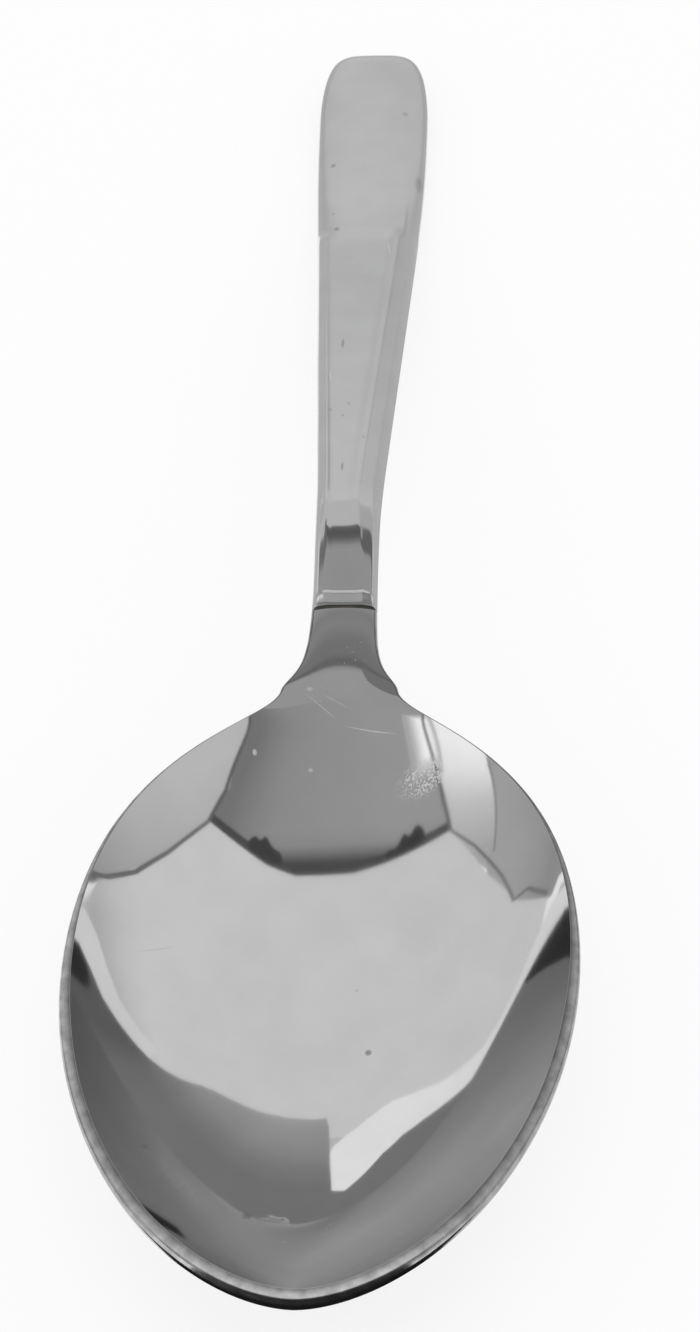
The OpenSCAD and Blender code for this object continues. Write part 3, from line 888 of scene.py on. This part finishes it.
# Overhead card, the camera's side and the two sides
overhead_card("card_over", [
    (-46, -16), (-20, -14), (-10, -13), (10, -13), (20, -15), (42, -22), (58, -3), (72, 16), (75, 30),
    (64, 46), (30, 48), (0, 48), (-40, 50), (-70, 48), (-76, 27), (-68, 18), (-58, 2)], OVER_HEIGHT,
    (0.73, ("X", [(-1700, 0.95), (900, 1), (1300, 0.9), (1900, 0.72)])))
overhead_card("card_camera_side", [
    (-47, -12), (-44, -32), (-43, -45), (-20, -60), (20, -60), (36, -46), (37, -32), (43, -19), (20, -12),
    (0, -10), (-20, -11)], CAMERA_SIDE_HEIGHT,
    (1, ("Y", [(-1000, 0.37), (-300, 0.38), (-262, 0.35), (-240, 0.22), (-222, 0.1), (-190, 0.06)]),
     ("X", [(-300, 1.03), (0, 0.97), (200, 0.88), (400, 0.6)])), FIRST)

# Nested cards that grow brighter inwards: their two sides, their lower end and their level
SOFT_CARDS = [
    (-34, -46, -31, 0.5), (-36.5, -45.6, -32.3, 0.62), (-38, -45.2, -33.4, 0.8), (-39.4, -45, -34.4, 1),
    (-40.8, -44.8, -35.4, 1.17)]
SOFT_TOP = -74
for k, (right, left, low, soft) in enumerate(SOFT_CARDS):
    corners = [(right - 1, SOFT_TOP), (right, low), (left, low), (left, SOFT_TOP)]
    overhead_card(f"card_soft_right_{k}", corners, SOFT_HEIGHT - k, soft, FIRST)

overhead_card("card_left_side", [
    (36, -48), (37, -30), (43, -20), (58, -1), (66, 9), (72, 16), (77, 28), (83, 20), (82, 8), (72, -30),
    (55, -60), (38, -65)], SIDES_HEIGHT,
    (1, ("Y", [(-600, 0.62), (-350, 0.58), (-105, 0.5), (200, 0.4), (600, 0.36)])), FIRST)
overhead_card("card_right_bright", [
    (-44, -70), (-44, -32), (-46, -20), (-47, -12), (-61, 5), (-61, -27), (-60, -60)], SIDES_HEIGHT + 10,
    (1, ("Y", [(-700, 1.1), (-560, 1), (-380, 0.7), (-157, 0.5), (0, 0.46)])), FIRST)
overhead_card("card_right_side", [
    (-60.5, -28), (-60.5, -5), (-58.5, -1.5), (-58.3, 2), (-62.5, 11), (-70, 24), (-77, 28), (-84, 10),
    (-76, -20), (-68, -38)], SIDES_HEIGHT,
    (1, ("X", [(-2600, 0.34), (-1500, 0.42), (-1000, 0.46)])), FIRST)
overhead_strip("card_arc_dark", [
    (42, -23.2), (20, -16.2), (10, -14.2), (-10, -14.2), (-20, -15.2), (-46, -17.2)],
    2.4, LINES_HEIGHT + 5, 0.08)
overhead_card("card_dark_left", rounded([
    (29, -19), (26, -22), (23.5, -20.7), (22, -22.4), (19, -19.4), (15.5, -18.4), (15, -15), (22, -16)]),
    LINES_HEIGHT + 4, 0.06, FIRST)
overhead_card("card_dark_right", rounded([
    (-21, -15), (-23, -17.3), (-26, -17), (-29, -20.4), (-31, -18.8), (-34, -21.5), (-37, -19), (-36, -16)]),
    LINES_HEIGHT + 4, 0.05, FIRST)
overhead_strip("card_line_left", [
    (42, -22), (54, -8), (63, 4), (70, 12.5), (72.5, 15), (74, 19)], 1, LINES_HEIGHT, 0.16)
overhead_strip("card_line_left_low", [(42, -22), (38, -31), (36, -43)], 1.2, LINES_HEIGHT, 0.14)
overhead_strip("card_line_right", [
    (-46, -16), (-54, -8), (-63, 6.5), (-67, 17), (-71, 18), (-76, 26)], 0.8, LINES_HEIGHT, 0.2)
overhead_strip("card_line_right_low", [
    (-46, -16), (-44.3, -24), (-43.5, -34), (-43, -44)], 1.2, LINES_HEIGHT, 0.16)
overhead_strip("card_line_far_right", [(-60.5, -32), (-60.5, -2)], 0.6, LINES_HEIGHT, 0.3)

# The room's walls: half its width, the foot of its walls and the far wall's place
ROOM = 2500
FOOT = -50
FAR_WALL = 1300
standing_card("card_far", [(-ROOM, FOOT), (ROOM, FOOT), (ROOM, 1600), (-ROOM, 1600)], FAR_WALL,
    (1, ("Z", [(FOOT, 0.5), (200, 0.52), (335, 0.53), (355, 0.55), (375, 0.58), (405, 0.6), (470, 0.605),
               (552, 0.625), (720, 0.62), (996, 0.61), (1150, 0.595), (1240, 0.565), (1600, 0.53)]),
     ("X", [(-ROOM, 0.9), (-850, 0.9), (-600, 0.935), (-400, 0.96), (-150, 1), (-60, 1), (0, 0.97),
            (170, 0.955), (480, 0.93), (900, 0.9), (ROOM, 0.82)])))
standing_card("card_far_crease", [(300, 230), (392, 230), (392, 460), (300, 460)], FAR_WALL - 10, 0.42, FIRST)
for side in (-1, 1):
    card(f"card_far_{'left' if side > 0 else 'right'}", [
        (ROOM * side, -ROOM, FOOT), (ROOM * side, FAR_WALL, FOOT), (ROOM * side, FAR_WALL, 300),
        (ROOM * side, -ROOM, 300)], 0.55)
standing_card("card_near", [(-ROOM, FOOT), (ROOM, FOOT), (ROOM, 900), (-ROOM, 900)], -ROOM, 0.56)

# What the sides of the handle see, low beside them
MAT_HEIGHT = 0.3
level_card("card_mat_left", (-600, -11), (-10, 900), MAT_HEIGHT, 0.5, FIRST)
level_card("card_mat_right", (13, 600), (-10, 900), MAT_HEIGHT, 0.49, FIRST)

# What the bowl sees over the handle, on cards that stand across the handle's first rows
BEFORE_HANDLE = -12
standing_card("card_low", [
    (170, 1), (170, 20), (110, 29), (90, 32), (84, 32.5), (76, 32.5), (71, 35), (66, 38.5), (61, 42.5),
    (56, 48), (51, 54), (45, 62), (40, 66), (36, 68), (28, 71), (20, 73), (10, 75.5), (0, 76.5), (-11, 76),
    (-12, 70), (-13, 48), (-14, 35), (-18, 32.5), (-24, 36), (-30, 40), (-37, 41), (-43.5, 38), (-49, 33.5),
    (-53.5, 29), (-59, 24.5), (-65, 21), (-75, 20), (-84, 21), (-95, 18), (-170, 1)], BEFORE_HANDLE,
    (1, ("Z", [(15, 0.21), (38, 0.21), (48, 0.25), (58, 0.32), (70, 0.37), (82, 0.48)]),
     ("X", [(-100, 0.5), (-75, 0.7), (-50, 1), (45, 1), (57, 0.9), (66, 0.6), (90, 0.6)])), FIRST, FAR)
standing_card("card_spike_left", rounded([
    (73.5, 15), (72.5, 25), (77, 29.5), (84, 31.5), (95, 30), (120, 28), (120, 15)]),
    BEFORE_HANDLE - 0.2, 0.03, FIRST, FAR)
standing_card("card_bright_right", [
    (-11.5, 52), (-14, 58), (-18, 61.5), (-26.5, 65), (-33.5, 66), (-38, 64.5), (-41.5, 61.5),
    (-48.5, 54), (-54, 45), (-59, 38.5), (-63.5, 32), (-70, 30.5), (-80, 30.5), (-90, 31), (-103, 32),
    (-103, 10), (-11, 10)], BEFORE_HANDLE + 0.2,
    (1, ("X", [(-103, 0.84), (-70, 0.8), (-54, 0.92), (-12, 0.94)])), FIRST, FAR)
standing_card("card_bright_left", [
    (123, 46), (107, 46), (91, 43), (80, 42), (70, 46), (64, 50), (60, 40), (60, 30), (125, 20)],
    BEFORE_HANDLE + 0.2, 0.76, FIRST, FAR)

# What a second reflection inside the bowl sees
LATER_HEIGHT = 400
overhead_card("card_later", [(-70, -40), (70, -40), (70, 40), (45, 62), (-45, 62), (-70, 40)], LATER_HEIGHT,
    (1, ("Y", [(-170, 0.2), (-70, 0.25), (-20, 0.31), (35, 0.37), (90, 0.43), (180, 0.48), (325, 0.45),
               (620, 0.38)]),
     ("X", [(-240, 0.97), (32, 1), (60, 0.8), (98, 0.62), (160, 0.52), (300, 0.5)])), LATER)
overhead_card("card_later_spike", rounded([
    (-17.5, -26), (-17.5, -11), (-15, -5.5), (-20, -6.5), (-27, -5.5), (-34, -5), (-34, -26)]),
    LATER_HEIGHT - 20, 0.04, LATER)
overhead_card("card_later_bright", [
    (-17, -26), (-17, -11), (-14.5, -5), (-12, 0), (-7, 2.5), (-4, -4), (-8, -26)],
    LATER_HEIGHT - 30, 1.15, LATER)
overhead_card("card_later_dark_edge", [(18, 40), (25, 38), (26, 45), (18, 46)],
    LATER_HEIGHT - 25, 0.02, LATER)

# What the neck and the handle's first rows see, on cards close above them
CLOSE_ABOVE = 28.5
level_card("card_neck", (-14, 18), (-42, -20.9), CLOSE_ABOVE,
    (1, ("Y", [(-42, 0.38), (-28.6, 0.39), (-27.9, 0.33), (-27.4, 0.17), (-26.8, 0.16), (-26, 0.21),
               (-24.6, 0.22), (-23.2, 0.28), (-22.2, 0.26), (-21.6, 0.32), (-20.9, 0.36)])), FIRST, NEAR)
card("card_neck_right", [(x, y, CLOSE_ABOVE - 0.1) for x, y in (
    (4.2, -27.4), (4.5, -30.5), (5.3, -33.4), (7, -34), (18, -33.4), (18, -27.4))], 0.21, FIRST, NEAR)
level_card("card_crest", (-20, 30), (-20.9, -14), CLOSE_ABOVE, 0.335, FIRST, NEAR)
level_card("card_cap", (-1.5, 5.4), (-14.7, -10), CLOSE_ABOVE,
    (1, ("Y", [(-14.7, 0.32), (-13.7, 0.24), (-12.7, 0.13), (-11.7, 0.1), (-10.4, 0.12), (-10, 0.2)])), NEAR)
level_card("card_streak_left", (-20, -1.5), (-14.7, -8.3), CLOSE_ABOVE, 0.15, NEAR)
level_card("card_streak_seam", (5.4, 7.3), (-12.2, -8.8), CLOSE_ABOVE, 0.35, NEAR)
level_card("card_streak_right", (5.4, 40), (-14.7, -8.8), CLOSE_ABOVE + 0.1, 0.13, NEAR)
level_card("card_over_cap", (-20, 40), (-10.2, -1), CLOSE_ABOVE + 0.2,
    (1, ("X", [(-20, 0.5), (-1, 0.54), (4, 0.54), (7, 0.45), (40, 0.42)])), NEAR)
level_card("card_step_light", (-2.3, 6), (-22.05, -21.25), 22.9, 0.6, FIRST, NEAR)

# What the rim sees in front of the bowl's tip
card("card_front", [(-36, -104, 0.5), (36, -104, 0.5), (40, -150, 0.5), (-40, -150, 0.5)], 0.01)
standing_card("card_rim_front", [(-20, 8), (18, 8), (18, 40), (-20, 40)], -112.7,
    (1, ("X", [(-20, 0.09), (-15, 0.05), (-9, 0.01), (18, 0.01)])), FIRST, NEAR)

# The camera, fitted to the spoon's outline in the photograph: place in metres, turn in degrees, lens in mm
CAMERA_PLACE = (0.017525, -0.199132, 0.236549)
CAMERA_TURN = (37.9378, 2.5995, 1.7846)
CAMERA_LENS = 60.81
CAMERA_SENSOR = 36
CAMERA_CLIP = 0.01
bpy.ops.object.camera_add(location=CAMERA_PLACE, rotation=[math.radians(a) for a in CAMERA_TURN])
camera = bpy.context.object
camera.data.lens = CAMERA_LENS
camera.data.sensor_width = CAMERA_SENSOR
camera.data.clip_start = CAMERA_CLIP
bpy.context.scene.camera = camera
bpy.context.scene.view_settings.view_transform = "Standard"
